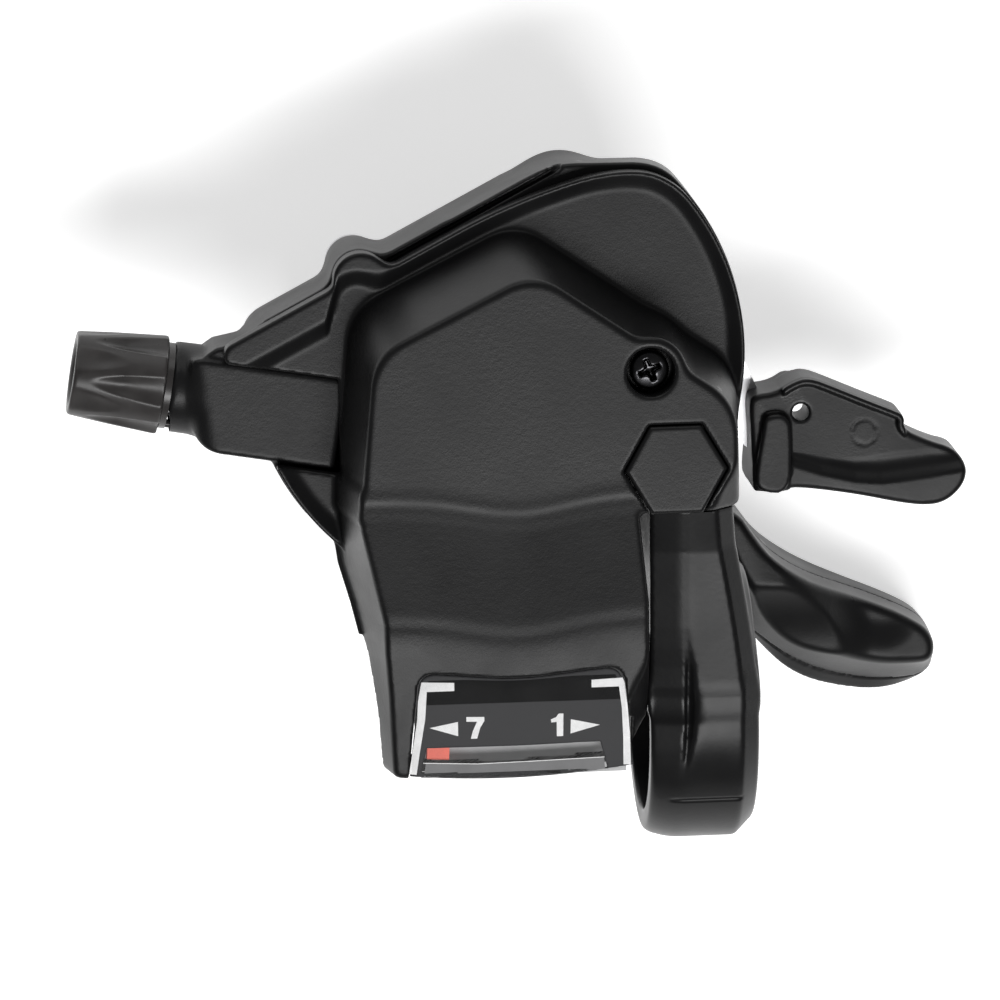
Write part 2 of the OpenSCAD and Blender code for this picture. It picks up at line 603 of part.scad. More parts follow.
knob_from = -39.2;
knob_to = -30.5;
module detent_collar() color([0.1, 0.1, 0.1]) exit_frame(knob_to + 0.05) {
    difference() {
        cylinder(r = 4.1, h = 0.6);
        translate([0, 0, -1]) cylinder(r = screw_r + run, h = 4);
    }
    for (side = [-1, 1]) translate([0, side * key_at, 0.3]) cylinder(r = key_r, h = 6, $fn = 24);
}
module adjuster_screw() color([0.6, 0.6, 0.6]) exit_frame(0) difference() {
    union() {
        translate([0, 0, knob_to - 2.2]) cylinder(r = screw_r, h = 2.2 - knob_to - 21);
        translate([0, 0, knob_to - 2.2]) cylinder(r = 3.4, h = 1.2, $fn = 6);
    }
    translate([0, 0, -50]) cylinder(r = 1.1, h = 60);
}
module adjuster_knob() color([0.16, 0.155, 0.15]) exit_frame(0) difference() {
    rotate_extrude() polygon([[0, knob_from], [3.7, knob_from], [4.05, knob_from + 0.5],
        [4.35, knob_to - 4], [4.7, knob_to - 0.4], [4.6, knob_to], [0, knob_to]]);
    translate([0, 0, knob_from - 1]) cylinder(r = socket_r, h = socket_len + 1);
    translate([0, 0, -50]) cylinder(r = 1.1, h = 60);
    translate([0, 0, knob_to - 2.2]) cylinder(r = screw_r, h = 6);
    translate([0, 0, knob_to - 2.2]) cylinder(r = 3.4, h = 1.2, $fn = 6);
    for (a = [0:60:359]) rotate([0, 0, a + 30]) translate([5.6, 0, knob_to - 3.6])
        rotate([0, -9, 0]) cylinder(r = 1.3, h = 8, $fn = 32);
}

main_housing();
top_cover();
indicator_floor();
indicator_label();
indicator_lens();
hex_cap();
cover_screw();
housing_screws();
base_plate();
bottom_cover();
bottom_screw();
clamp_band();
clamp_bolt();
clamp_nut();
pivot_axle();
axle_washer();
axle_nut();
spool_bushing();
pointer_pivot();
hold_pawl_pin();
release_lever_pin();
adjuster_insert();
main_lever_spring();
release_lever_spring();
hold_pawl_spring();
cable_spool();
index_ratchet();
drive_ratchet();
crank_pin();
indicator_pointer();
pointer_tip();
main_lever_arm();
main_lever_paddle();
drive_pawl_pin();
drive_pawl();
drive_pawl_spring();
release_lever_arm();
release_lever_paddle();
hold_pawl();
detent_collar();
adjuster_screw();
adjuster_knob();
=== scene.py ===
"""Looks of the under-bar trigger shifter: moulded shells, levers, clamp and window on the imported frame."""
import json
import math

import bmesh
import bpy
import numpy as np
from mathutils import Matrix, Vector


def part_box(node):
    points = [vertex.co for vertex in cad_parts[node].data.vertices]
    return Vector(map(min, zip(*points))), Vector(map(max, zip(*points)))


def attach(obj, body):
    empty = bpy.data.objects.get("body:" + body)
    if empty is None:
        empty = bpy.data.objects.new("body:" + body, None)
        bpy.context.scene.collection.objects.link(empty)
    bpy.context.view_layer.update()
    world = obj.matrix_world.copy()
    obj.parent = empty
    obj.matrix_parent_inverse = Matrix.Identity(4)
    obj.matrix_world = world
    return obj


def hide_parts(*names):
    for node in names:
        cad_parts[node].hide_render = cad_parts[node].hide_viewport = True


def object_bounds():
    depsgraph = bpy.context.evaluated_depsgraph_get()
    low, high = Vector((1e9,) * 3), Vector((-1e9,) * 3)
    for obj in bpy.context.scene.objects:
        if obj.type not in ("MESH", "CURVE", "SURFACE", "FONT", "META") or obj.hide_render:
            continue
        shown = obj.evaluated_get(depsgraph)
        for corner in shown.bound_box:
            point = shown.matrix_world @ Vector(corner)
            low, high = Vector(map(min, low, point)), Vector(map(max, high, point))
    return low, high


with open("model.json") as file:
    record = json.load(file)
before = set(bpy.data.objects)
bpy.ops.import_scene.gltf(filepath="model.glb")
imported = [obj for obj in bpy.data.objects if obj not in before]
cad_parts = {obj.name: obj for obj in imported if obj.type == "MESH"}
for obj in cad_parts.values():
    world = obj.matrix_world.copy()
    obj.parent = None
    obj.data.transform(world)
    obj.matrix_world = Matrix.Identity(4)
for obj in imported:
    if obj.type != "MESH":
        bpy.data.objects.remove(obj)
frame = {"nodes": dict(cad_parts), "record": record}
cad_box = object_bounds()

MM = 0.001                      # metres in a millimetre
GRID = 0.3                      # mm between the sample points of a moulded shape
DIAGONAL = 0.707                # scales the sum of two square distances to one across the corner


# ---- Shapes as distance fields, in millimetres, negative inside ----

def blend_min(a, b, k):
    """The lower of two fields, with a fillet of about k where they cross."""
    h = np.maximum(k - np.abs(a - b), 0.0) / k
    return np.minimum(a, b) - h * h * k * 0.25


def blend_max(a, b, k):
    return -blend_min(-a, -b, k)


def all_of(k, *fields):
    """Where every field is inside, with edges rounded by about k."""
    out = fields[0]
    for f in fields[1:]:
        out = blend_max(out, f, k)
    return out


def any_of(k, *fields):
    """Where any field is inside, with inner corners filled by about k."""
    out = fields[0]
    for f in fields[1:]:
        out = blend_min(out, f, k)
    return out


def less(a, b, k=0.3):
    """Field a with b cut away."""
    return blend_max(a, -b, k)


def between(v, low, high):
    return np.maximum(low - v, v - high)


def disc(x, y, at, r):
    return np.hypot(x - at[0], y - at[1]) - r


def half(x, y, a, b, lean=0.0, up=0.0):
    """Outside is to the left of the way from a to b; the wall leans in by lean for each mm of up."""
    dx, dy = b[0] - a[0], b[1] - a[1]
    n = math.hypot(dx, dy)
    return (((y - a[1]) * dx - (x - a[0]) * dy) / n + up * lean) / math.hypot(1, lean)


def outline(x, y, corners):
    """Signed distance to a closed outline."""
    best, sign = None, 1.0
    for (ax, ay), (bx, by) in zip(corners, corners[1:] + corners[:1]):
        ex, ey = bx - ax, by - ay
        wx, wy = x - ax, y - ay
        t = np.clip((wx * ex + wy * ey) / (ex * ex + ey * ey), 0, 1)
        d = (wx - ex * t) ** 2 + (wy - ey * t) ** 2
        best = d if best is None else np.minimum(best, d)
        over, under, left = y >= ay, y < by, ex * wy > ey * wx
        flips = (over & under & left) | (~over & ~under & ~left)
        sign = np.where(flips, -sign, sign)
    return sign * np.sqrt(best)


def curved(corners, rounds=2):
    """A closed outline with its corners cut smooth."""
    p = np.array(corners, float)
    for _ in range(rounds):
        after = np.roll(p, -1, axis=0)
        p = np.stack([0.75 * p + 0.25 * after, 0.25 * p + 0.75 * after], 1).reshape(-1, 2)
    return [tuple(v) for v in p]


def along_line(v, points):
    """The second number of a line of points, at first number v."""
    return np.interp(v, [p[0] for p in points], [p[1] for p in points])


# ---- Meshes from fields ----

CORNERS = [(i & 1, i >> 1 & 1, i >> 2 & 1) for i in range(8)]
EDGES = [(i, i | 1 << k) for i in range(8) for k in range(3) if not i >> k & 1]


def net(field, low, high, step):
    """Closed surface of a field in a box, as points and quads, with one point in each cell it crosses."""
    axes = [np.arange(a, b + step, step) for a, b in zip(low, high)]
    size = tuple(len(a) for a in axes)
    value = field(axes[0][:, None, None], axes[1][None, :, None], axes[2][None, None, :])
    value = np.ascontiguousarray(np.broadcast_to(value, size), dtype=np.float32)
    inside = value < 0
    cut = [tuple(slice(c, n - 1 + c) for c, n in zip(k, size)) for k in CORNERS]
    count = sum(inside[c].astype(np.int8) for c in cut)
    cells = np.argwhere((count > 0) & (count < 8))
    number = np.full(size, -1, np.int64)
    number[tuple(cells.T)] = np.arange(len(cells))
    at_corner = [value[tuple((cells + c).T)] for c in CORNERS]
    place, hits = np.zeros((len(cells), 3)), np.zeros(len(cells))
    for i, j in EDGES:
        a, b = at_corner[i], at_corner[j]
        crossed = (a < 0) != (b < 0)
        t = np.where(crossed, a / np.where(crossed, a - b, 1), 0)
        place += (np.array(CORNERS[i]) + np.outer(t, np.subtract(CORNERS[j], CORNERS[i]))) * crossed[:, None]
        hits += crossed
    points = np.array(low) + (cells + place / hits[:, None]) * step
    quads = []
    for k in range(3):
        u, w = (k + 1) % 3, (k + 2) % 3
        first = [slice(1, n - 1) for n in size]
        second = list(first)
        first[k], second[k] = slice(0, size[k] - 1), slice(1, size[k])
        a, b = inside[tuple(first)], inside[tuple(second)]
        for flip, where in ((False, a & ~b), (True, ~a & b)):
            at = np.argwhere(where)
            at[:, u] += 1
            at[:, w] += 1
            du, dw = np.eye(3, dtype=int)[u], np.eye(3, dtype=int)[w]
            ring = [number[tuple((at - o).T)] for o in (0 * du, du, du + dw, dw)]
            quads.append(np.stack(ring[::-1] if flip else ring, axis=1))
    return points, np.concatenate(quads)


def settle(points, field, reach, rounds=2):
    """Moves each point onto the field's true surface."""
    e = 0.02
    for _ in range(rounds):
        x, y, z = points.T
        d = field(x, y, z)
        slope = np.stack([field(x + e, y, z) - d, field(x, y + e, z) - d, field(x, y, z + e) - d], 1) / e
        push = d[:, None] * slope / np.maximum((slope ** 2).sum(1), 0.3)[:, None]
        points = points - np.clip(push, -reach, reach)
    return points


def piece(name, points, faces, body, slot, *nodes, smooth=True, paint=None):
    """A new object from points in millimetres, which rides on a body and stands for CAD nodes."""
    mesh = bpy.data.meshes.new(name)
    mesh.from_pydata((np.asarray(points, float) * MM).tolist(), [], faces)
    mesh.validate()
    if smooth:
        mesh.shade_smooth()
    ob = bpy.data.objects.new(name, mesh)
    bpy.context.collection.objects.link(ob)
    mesh.materials.append(material_for(paint or slot))
    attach(ob, body)
    if nodes:
        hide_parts(*nodes)
    return ob


def moulded(name, field, low, high, body, slot, *nodes, step=GRID):
    """A piece made from a distance field."""
    points, quads = net(field, low, high, step)
    return piece(name, settle(points, field, step / 2), quads.tolist(), body, slot, *nodes)


# ---- Places taken from the record and the frame ----

def joint_at(name):
    """A joint's place in millimetres."""
    joint = next(j for j in frame["record"]["behaviour"]["joints"] if j["name"] == name)
    return [c / MM for c in joint["pos_m"]]


def node_box(name):
    return [[c / MM for c in corner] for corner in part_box(name)]


def node_middle(name):
    low, high = node_box(name)
    return [(a + b) / 2 for a, b in zip(low, high)]


AXLE = joint_at("spool_turn")[:2]
EXIT = joint_at("adjuster_turn")
EXIT_TURN = math.radians(-10)
BAR_R = 11.1
BAR_ROOM_SQ = 134.6             # square of the radius that the hood keeps clear round the bar
CAP = node_middle("hex_cap")[:2]
SCREW = node_middle("cover_screw")[:2]
BOSS = (-32.3, 42.5)            # corner boss of the housing, at the front left
NEAR_POST = (-31.4, 18.8)       # screw post beside the bar
SCREW_POSTS = (BOSS, (-9.6, 48.4), NEAR_POST)
POST_R, POST_BORE_R = 2.4, 1.1
TOP_Z = 20.0                    # heights of the hood's flat top, the rim, the deck inside it and the joint
RIM_Z = 10.0
DECK_Z = 9.2
JOINT_Z = 7.6
HOUSE_Z = -2.0
HOUSE_R = 23.6
FRONT_D = 13.3                  # straight front wall, from the axle
FRONT_TURN = math.radians(27.2)
WALL = 1.8


def in_front(x, y, d):
    """How far a point is beyond a line parallel to the straight front wall, d from the axle."""
    return (y - AXLE[1]) * math.cos(FRONT_TURN) - (x - AXLE[0]) * math.sin(FRONT_TURN) - d


def exit_axes(x, y, z):
    """A point's place along the cable's exit, across it to the front, and up, from the axle's foot."""
    dx, dy = x - EXIT[0], y - EXIT[1]
    c, s = math.cos(EXIT_TURN), math.sin(EXIT_TURN)
    return dx * c + dy * s, dy * c - dx * s, z - EXIT[2]


# ---- Top cover ----

def wave(x):
    """How far the two bends across the hood bow towards the rider in their middle."""
    return 0.75 - 1.45 * np.exp(-((x + 18.8) / 6.5) ** 2)


def hood_height(x, y):
    """The hood's upper face: a flat top, a slope and the gentler display face."""
    bend = 9.3 + wave(x)
    slope = 16.6 + (y - bend) * 0.272
    display = 16.6 + (y - bend) * 0.105
    bead = 0.10 * np.exp(-((y - bend - 12.9) / 0.8) ** 2) + 0.05 * np.exp(-((y - bend - 0.6) / 0.7) ** 2)
    return blend_min(TOP_Z, blend_max(slope, display, 0.35), 0.45) + bead


def hood_walls(x, y, z, inset):
    """The drafted walls of the hood over the mechanism, with a pad round the cover screw."""
    up = z - TOP_Z
    left = half(x, y, (-33.5, 21.0), (-32.1, 35.0), 0.16, up)
    front_left = half(x, y, (-31.0, 37.2), (-17.6, 43.7), 0.30, up)
    front_right = half(x, y, (-15.6, 43.4), (2.0, 31.2), 0.20, up)
    right = half(x, y, (2.05, 31.0), (2.05, 24.0), 0.1, up)
    walls = all_of(2.6, left, front_left, front_right, right) + inset
    return walls if inset else any_of(0.9, walls, disc(x, y, SCREW, 3.3) + 0.08 * up)


# left wall of the hood over the bar: place along the bar at each y, at its top edge and at its foot
LEFT_TOP = [(-5, -30.6), (3.6, -30.9), (7.9, -31.2), (10.6, -31.25), (16.3, -32.5), (20.1, -33.4),
            (27, -33.4)]
LEFT_FOOT = [(-5, -31.4), (2.1, -31.9), (6.7, -32.5), (11.4, -33.6), (15.3, -34.7), (18.2, -35.1),
             (25.2, -35.1)]


def near_edge(x, y):
    """Outside is beyond the display's bowed edge, towards the rider."""
    return -y - 5.0 + 0.006 * (x + 20) ** 2


def display_walls(x, y, z, inset):
    """The drafted walls of the hood over the bar."""
    top = hood_height(x, y)
    foot = np.maximum(8.0, np.sqrt(np.maximum(BAR_ROOM_SQ - y * y, 0)))
    down = np.clip((top - z) / (top - foot), -0.5, 1.2)
    left = along_line(y, LEFT_TOP) * (1 - down) + along_line(y, LEFT_FOOT) * down - x
    right = x + 6.3 + 0.04 * (z - 16) + 0.9 * np.clip((y - 12) / 9, 0, 1)
    return all_of(0.7, left, right, near_edge(x, y)) + inset


def hood(x, y, z, inset):
    body = any_of(0.8, all_of(0.8, hood_walls(x, y, z, inset), 20.95 + inset - y),
                  all_of(0.8, display_walls(x, y, z, inset), y - 24))
    return all_of(0.55, body, (z - hood_height(x, y) + inset) * 0.97)


COVER_R = 23.4
COVER_D = 12.4                  # the cover's straight front edge, from the axle
WING_D = 13.3                   # its step outwards beyond the boss
FLANGE_D = 10.9                 # inner edge of the wing's flat border
BOSS_BAY = (-32.7, 40.2)        # the deck's bay beside the boss
HOOD_STEP_Y = 20.9              # where the hood over the bar meets the one over the mechanism
CLAMP_LEFT = -6.2               # the clamp's room begins here along the bar
CAP_ROOM_FLAT, CAP_FLAT = 4.32, 4.17
SINK_R, SINK_Z = 2.3, 17.1      # counterbore over the cover screw
SCREW_POST_Z = 13.95            # foot of the post round the cover screw
WINDOW_FLOOR_Z = 12.2


def cover_body(x, y):
    far = half(x, y, (-14, 51.8), (2, 53.6))
    return all_of(4.0, disc(x, y, AXLE, COVER_R), in_front(x, y, COVER_D), far)


def cover_wing(x, y, low):
    """The cover's wing over the cable's exit, down to low across it."""
    return all_of(0.8, in_front(x, y, WING_D), x + 34.6, low - exit_axes(x, y, 0)[1], -45.4 - x)


def cover_plan(x, y):
    """Outline of the cover's rim."""
    return any_of(0.6, any_of(1.6, cover_body(x, y), disc(x, y, BOSS, 2.6)), cover_wing(x, y, 3.75))


def hexagon(x, y, flat):
    """Hexagon about the cap with corners on the X axis; flat is half its width across flats."""
    dx, dy = x - CAP[0], y - CAP[1]
    c, s = math.cos(math.pi / 6), math.sin(math.pi / 6)
    return np.maximum(np.abs(dy), np.maximum(np.abs(dx * c + dy * s), np.abs(dx * c - dy * s))) - flat


def window(x, y, grow=0.0):
    """Outline of the display's window: it narrows a little away from the rider and has round corners."""
    y_top = 5.9 - 0.84 * np.exp(-((x + 18.8) / 6.5) ** 2)
    side = np.abs(x + 18.5) - 10.75 + 0.109 * (y + 4.2)
    return all_of(1.6, side, y - y_top) - grow


def window_room(x, y, z):
    return all_of(0.2, window(x, y), WINDOW_FLOOR_Z - z)


def top_cover(x, y, z):
    _, across, _ = exit_axes(x, y, z)
    shell = all_of(0.3, cover_plan(x, y), between(z, JOINT_Z, RIM_Z))
    # the deck lies inside a narrow sloping border
    flange = in_front(x, y, FLANGE_D + 4 * np.clip((x + 35.6) / 1.5, 0, 1))
    inside = any_of(1.2, cover_body(x, y) + 0.12, disc(x, y, BOSS_BAY, 3.2), cover_wing(x, y, -2.0) + 0.12)
    deck = np.maximum(inside, flange) + (RIM_Z - z) * 1.7
    shell = less(shell, all_of(0.3, deck, DECK_Z - z), 0.2)
    body = all_of(0.3, hood(x, y, z, 0.0), JOINT_Z - z)
    lip = all_of(0.15, along_line(y, LEFT_FOOT) - 0.35 - x, x + 30, near_edge(x, y), y - 22,
                 between(z, JOINT_Z, 8.3))
    shell = any_of(0.45, shell, any_of(0.15, body, lip))
    hollow = all_of(0.5, hood(x, y, z, WALL), JOINT_Z - 1 - z)
    posts = any_of(0.3, all_of(0.3, disc(x, y, SCREW, 2.9), SCREW_POST_Z - z),
                   all_of(0.3, disc(x, y, joint_at("pointer_swing"), 2.2), 14.2 - z),
                   all_of(0.3, disc(x, y, NEAR_POST, POST_R), z - 13))
    shell = less(shell, less(hollow, posts, 0.3), 0.4)
    cable_exit = all_of(0.2, between(across, -5.3, 3.75), x + 34.6)
    beside_clamp = all_of(0.2, CLAMP_LEFT - x, y - HOOD_STEP_Y)
    low_beside = all_of(0.2, -9.0 - x, y - HOOD_STEP_Y, z - 11.2)
    ears = all_of(0.2, between(x, -9.3, 2.05), between(y, 8, 30.3), z - 14.0)
    bar = np.hypot(y, z) - BAR_R - 0.5
    cap_room = all_of(0.1, hexagon(x, y, CAP_ROOM_FLAT), 14 - z)
    for cut in (cable_exit, beside_clamp, low_beside, ears, bar, cap_room):
        shell = less(shell, cut, 0.12)
    shell = all_of(0.4, shell, half(x, y, (1.88, 25.32), (-0.8, 20.93), 0.74, z - TOP_Z))
    shell = less(shell, disc(x, y, SCREW, 1.4), 0.2)
    shell = less(shell, all_of(0.1, disc(x, y, SCREW, SINK_R), SINK_Z - z), 0.25)
    shell = less(shell, all_of(0.1, disc(x, y, SCREW, SINK_R), z - SCREW_POST_Z), 0.2)
    shell = less(shell, disc(x, y, joint_at("pointer_swing"), 1.0) + np.maximum(z - 17.6, 0), 0.2)
    return less(shell, window_room(x, y, z), 0.15)


def make_top_cover():
    moulded("cover_shell", top_cover, (-47, -6.2, 7.06), (5.6, 54.2, 20.6), "housing", "housing_plastic",
            "top_cover", step=0.25)


# ---- Main housing ----

WING_LINE = [(-47.6, 13.1), (-46.0, 13.3), (-43.5, 12.6), (-41.6, 12.5), (-41.3, 13.0), (-35.0, 13.05)]
BLOCK_ACROSS = (-5.1, 3.7)      # the block round the cable, across its way out
FAR_LOBE = (-12.5, 47.5)        # middle of the housing's round far corner
FAR_LOBE_R = 5.2
FAR_Y = 51.6                    # the housing's far wall, at its foot
FLOOR_Z = -0.4                  # floor of the housing's cavity, and underside of its wing
SLIT_D = 12.62                  # the slit in the top, from the axle


def house_plan(x, y, z, inset):
    """Outline of the housing's wall, with its draft."""
    up = z - HOUSE_Z
    far = half(x, y, (-14, 0.2), (0, 0)) - (FAR_Y + 0.09 * up)
    body = all_of(1.6, disc(x, y, AXLE, HOUSE_R), in_front(x, y, FRONT_D), far)
    body = any_of(0.8, body, disc(x, y, FAR_LOBE, FAR_LOBE_R - 0.05 * up))
    # at the left it stays inside the foot of the hood
    left = along_line(y, LEFT_FOOT) + 0.7 - x - 2.5 * np.clip(y - 18.5, 0, 9)
    return all_of(0.5, body, left, 12.6 - y) + inset


def main_housing(x, y, z):
    tall = between(z, HOUSE_Z, JOINT_Z)
    along, across, up = exit_axes(x, y, z)
    plan = any_of(1.4, house_plan(x, y, z, 0), disc(x, y, BOSS, 2.65))
    wing = all_of(0.8, in_front(x, y, along_line(x, WING_LINE)), x + 24, 3.0 - across, -47.6 - x,
                  FLOOR_Z - z)
    shell = all_of(0.4, any_of(0.8, plan, wing), tall)
    hollow = all_of(0.4, house_plan(x, y, z, WALL), cover_body(x, y) + 1.2, FLOOR_Z - z)
    shell = less(shell, hollow, 0.4)
    for at in SCREW_POSTS:
        post = less(disc(x, y, at, POST_R), disc(x, y, at, POST_BORE_R), 0.15)
        shell = any_of(0.3, shell, all_of(0.2, post, tall))
    screw_post = less(disc(x, y, SCREW, 2.2), disc(x, y, SCREW, 1.25), 0.15)
    shell = any_of(0.3, shell, all_of(0.2, screw_post, between(z, HOUSE_Z, 11.8)))
    # the cable's exit: a squared block with a round end
    block = all_of(0.5, between(across, *BLOCK_ACROSS), between(z, -1.6, 8.0), -29.0 - along,
                   along + 13.6)
    block = all_of(2.6, block, -28.4 - along - 0.3 * across)
    neck = all_of(0.4, np.hypot(across, up) - 4.3, between(along, -29.85, -27))
    shell = any_of(0.25, shell, any_of(0.8, block, neck))
    clamp_room = all_of(0.2, between(x, -9.2, 12), between(y, 0, 30.4), between(z, -4, 12))
    shell = less(shell, clamp_room, 0.25)
    shell = less(shell, disc(x, y, AXLE, 5.1) + np.maximum(z - 2, 0), 0.2)
    bore = all_of(0.1, np.hypot(across, up) - 3.1, along + 20.4)
    shell = less(less(shell, bore, 0.2), all_of(0.1, np.hypot(across, up) - 1.2, along + 8), 0.2)
    # the slit along the cover's edge
    slit = all_of(0.1, np.abs(in_front(x, y, SLIT_D)) - 0.2, between(x, -29.6, -13.0), JOINT_Z - 0.8 - z)
    return less(shell, slit, 0.12)


def make_main_housing():
    moulded("housing_shell", main_housing, (-50.6, 12.0, -2.4), (5.0, 53.8, 12.2), "housing",
            "housing_plastic", "main_housing", step=0.27)


# ---- Bottom cover ----

def bottom_cover(x, y, z):
    low, high = node_box("bottom_cover")
    foot, lid = low[2], high[2]
    plan = all_of(1.6, disc(x, y, AXLE, 20.4), in_front(x, y, 11), 15.05 - y,
                  y - 50.6 - 0.17 * (z - lid))
    block = all_of(1.4, plan, foot - z)
    block = all_of(0.3, block, z - lid)
    inner = all_of(0.8, plan + WALL, foot + 1.4 - z)
    boss = all_of(0.2, disc(x, y, AXLE, 3.4), z - foot - 1.9)
    shell = less(block, less(inner, boss, 0.3), 0.3)
    # shallow raised panel on the underside
    shell = any_of(0.2, shell, all_of(0.3, plan + 3.0, between(z, foot, foot + 1)))
    clamp_room = all_of(0.2, -9.2 - x, y - 15.4)
    levers = all_of(0.2, -14 - x, y - 44, -11.25 - z)
    shell = less(less(shell, clamp_room, 0.25), levers, 0.3)
    for at in SCREW_POSTS:
        shell = less(shell, all_of(0.1, disc(x, y, at, 2.65), -6.1 - z), 0.2)
    return less(shell, disc(x, y, AXLE, 1.5), 0.15)


def make_bottom_cover():
    low, high = node_box("bottom_cover")
    moulded("base_shell", bottom_cover, [c - 0.7 for c in low], [c + 0.7 for c in high], "housing",
            "housing_plastic", "bottom_cover")


# ---- Clamp ----

RING_R = 13.9
EAR_TOP = 13.9
# left edge of the band's raised middle, and right edge of its left lip: place along the bar at each y
MIDDLE_EDGE = [(-8.2, -3.6), (-6.6, -3.2), (-3.9, -2.4), (-1.5, -1.9), (1.5, -1.7), (5.0, -1.9),
               (7.0, -2.4), (9.0, -2.7)]
LIP_EDGE = [(-8.2, -3.6), (-6.4, -3.1), (-3.9, -2.9), (0.1, -2.7), (5.6, -2.6), (9.0, -2.7)]
TAB = [(-8.2, 25.0), (-8.2, 34.0), (-3.9, 35.0), (0.3, 25.0)]
BAND = (-6.0, 4.4)
BEVEL = 1.24                    # depth of the bevel along the band's right edge, square to it


def clamp_band(x, y, z):
    r = np.hypot(y, z)
    left, right = BAND
    ring = all_of(0.45, r - RING_R, between(x, left, right))
    ring = all_of(0.25, ring, (x - right + r - RING_R) * DIAGONAL + BEVEL,
                  (left - x + r - RING_R) * DIAGONAL + 0.7)
    # upper ear: narrower towards the bolt, with a back that rises to a flat beside the hood
    ear_right = x - right + 2.2 * np.clip((y - 2) / 15, 0, 1) ** 1.3 + 0.08 * np.clip(y - 17, 0, 8)
    ear_left = np.maximum(left - x - 2.4 * np.clip((y - 21.3) / 1.4, 0, 1), y - 29.8)
    rise = np.clip((y - 2.0) * 0.16, 0, 2.35) + 0.27 * np.clip(y - 16.6, 0, 8)
    back = EAR_TOP + np.where(y < 20.7, rise, 0.0) - 0.9 * np.clip(1 - y / 3.0, 0, 1) ** 2
    upper = all_of(0.5, ear_right, ear_left, 0.5 - y, 1.2 - z, z - back)
    upper = all_of(0.25, upper, (ear_right + z - back) * DIAGONAL + BEVEL)
    lower_right = x - right + 3.2 * np.clip((y - 6) / 14, 0, 1)
    lower = all_of(0.6, lower_right, left - x - 2.2 * np.clip((y - 6) / 13, 0, 1), y - 29.6, 0.5 - y,
                   between(z, -5.2, -1.2))
    tab = all_of(0.3, np.minimum(disc(x, y, SCREW, 2.2), outline(x, y, TAB)), between(z, 11.9, EAR_TOP))
    body = any_of(0.8, ring, any_of(0.3, upper, tab))
    body = any_of(1.2, body, lower)
    # sculpted crease between the left lip and the raised middle of the band
    over = np.clip((y + 0.5) / 3.5, 0, 1)
    depth = over * (back - z) + (1 - over) * (RING_R - r)
    middle, lip = along_line(y, MIDDLE_EDGE), along_line(y, LIP_EDGE)
    crease = all_of(0.3, (x - middle) * 0.86 + depth * 0.5, lip - x, depth - 1.15 * (middle - lip) + 0.1,
                    -z)
    body = less(body, crease, 0.3)
    # left of the raised middle the band falls away to its left face
    body = all_of(0.3, body, (0.3 * np.clip(middle - x, -1, 4) - depth) * 0.95)
    seam = all_of(0.05, np.abs(y + 8.3) - 0.12, between(x, -5.4, 2.9), RING_R - 0.2 - r, -z)
    body = less(body, seam, 0.08)
    body = less(body, r - BAR_R, 0.25)
    body = less(body, disc(x, y, CAP, 2.55), 0.2)
    return less(body, disc(x, y, SCREW, 1.3), 0.15)


def make_clamp():
    low, high = node_box("clamp_band")
    moulded("clamp_shell", clamp_band, [c - 0.7 for c in low], [c + 0.7 for c in high], "housing",
            "clamp_alloy", "clamp_band", step=0.24)


def make_hex_cap():
    """Flush cap over the clamp bolt, with a fine chamfer and a hollow underside."""
    def field(x, y, z):
        body = all_of(0.15, hexagon(x, y, CAP_FLAT), between(z, 18.0, TOP_Z + 0.1))
        body = all_of(0.1, body, (hexagon(x, y, CAP_FLAT) + z - TOP_Z - 0.1) * DIAGONAL + 0.16)
        return less(body, all_of(0.2, hexagon(x, y, 3.2), z - 19.1), 0.2)
    moulded("bolt_cap", field, (CAP[0] - 5.3, CAP[1] - 4.8, 17.6), (CAP[0] + 5.3, CAP[1] + 4.8, 20.6),
            "housing", "housing_plastic", "hex_cap", step=0.16)


def make_cover_screw():
    """Small screw with a domed head and a cross recess, sunk in the hood."""
    low, high = node_box("cover_screw")
    turn = math.radians(22)

    def field(x, y, z):
        dx, dy = x - SCREW[0], y - SCREW[1]
        u = dx * math.cos(turn) + dy * math.sin(turn)
        v = dy * math.cos(turn) - dx * math.sin(turn)
        r = np.hypot(dx, dy)
        head = all_of(0.3, r - 1.85, 17.15 - z, z - high[2] + 0.1 + 0.12 * r * r)
        shank = all_of(0.1, r - 1.15, between(z, low[2], 17.6))
        slope = (high[2] - z) * 0.22
        slots = [all_of(0.1, np.abs(a) - 1.15 + slope, np.abs(b) - 0.27 + slope * 0.4, 17.5 - z)
                 for a, b in ((u, v), (v, u))]
        core = all_of(0.1, (np.abs(u) + np.abs(v)) * DIAGONAL - 0.55 + slope, 17.5 - z)
        return less(any_of(0.2, head, shank), any_of(0.1, core, *slots), 0.08)
    moulded("cover_screw_head", field, (SCREW[0] - 2.4, SCREW[1] - 2.4, low[2] - 0.4),
            (SCREW[0] + 2.4, SCREW[1] + 2.4, high[2] + 0.4), "housing", "black_screw", "cover_screw",
            step=0.14)


# ---- Main lever's paddle ----

# outline at the rim's height, from the root along the front edge to the tip and back along the rider's side
PADDLE = curved([(2.4, 16.6), (5.0, 15.6), (6.2, 13.7), (7.8, 11.4), (10.0, 9.6), (12.7, 7.9), (16.6, 6.1),
                 (20.0, 4.7), (22.3, 3.6), (23.8, 2.6), (24.5, 1.1), (24.1, -0.5), (22.2, -0.6),
                 (18.8, -0.4), (16.0, 0.4), (13.4, 1.6), (11.0, 3.1), (8.0, 5.5), (6.2, 7.8), (4.4, 10.8)])
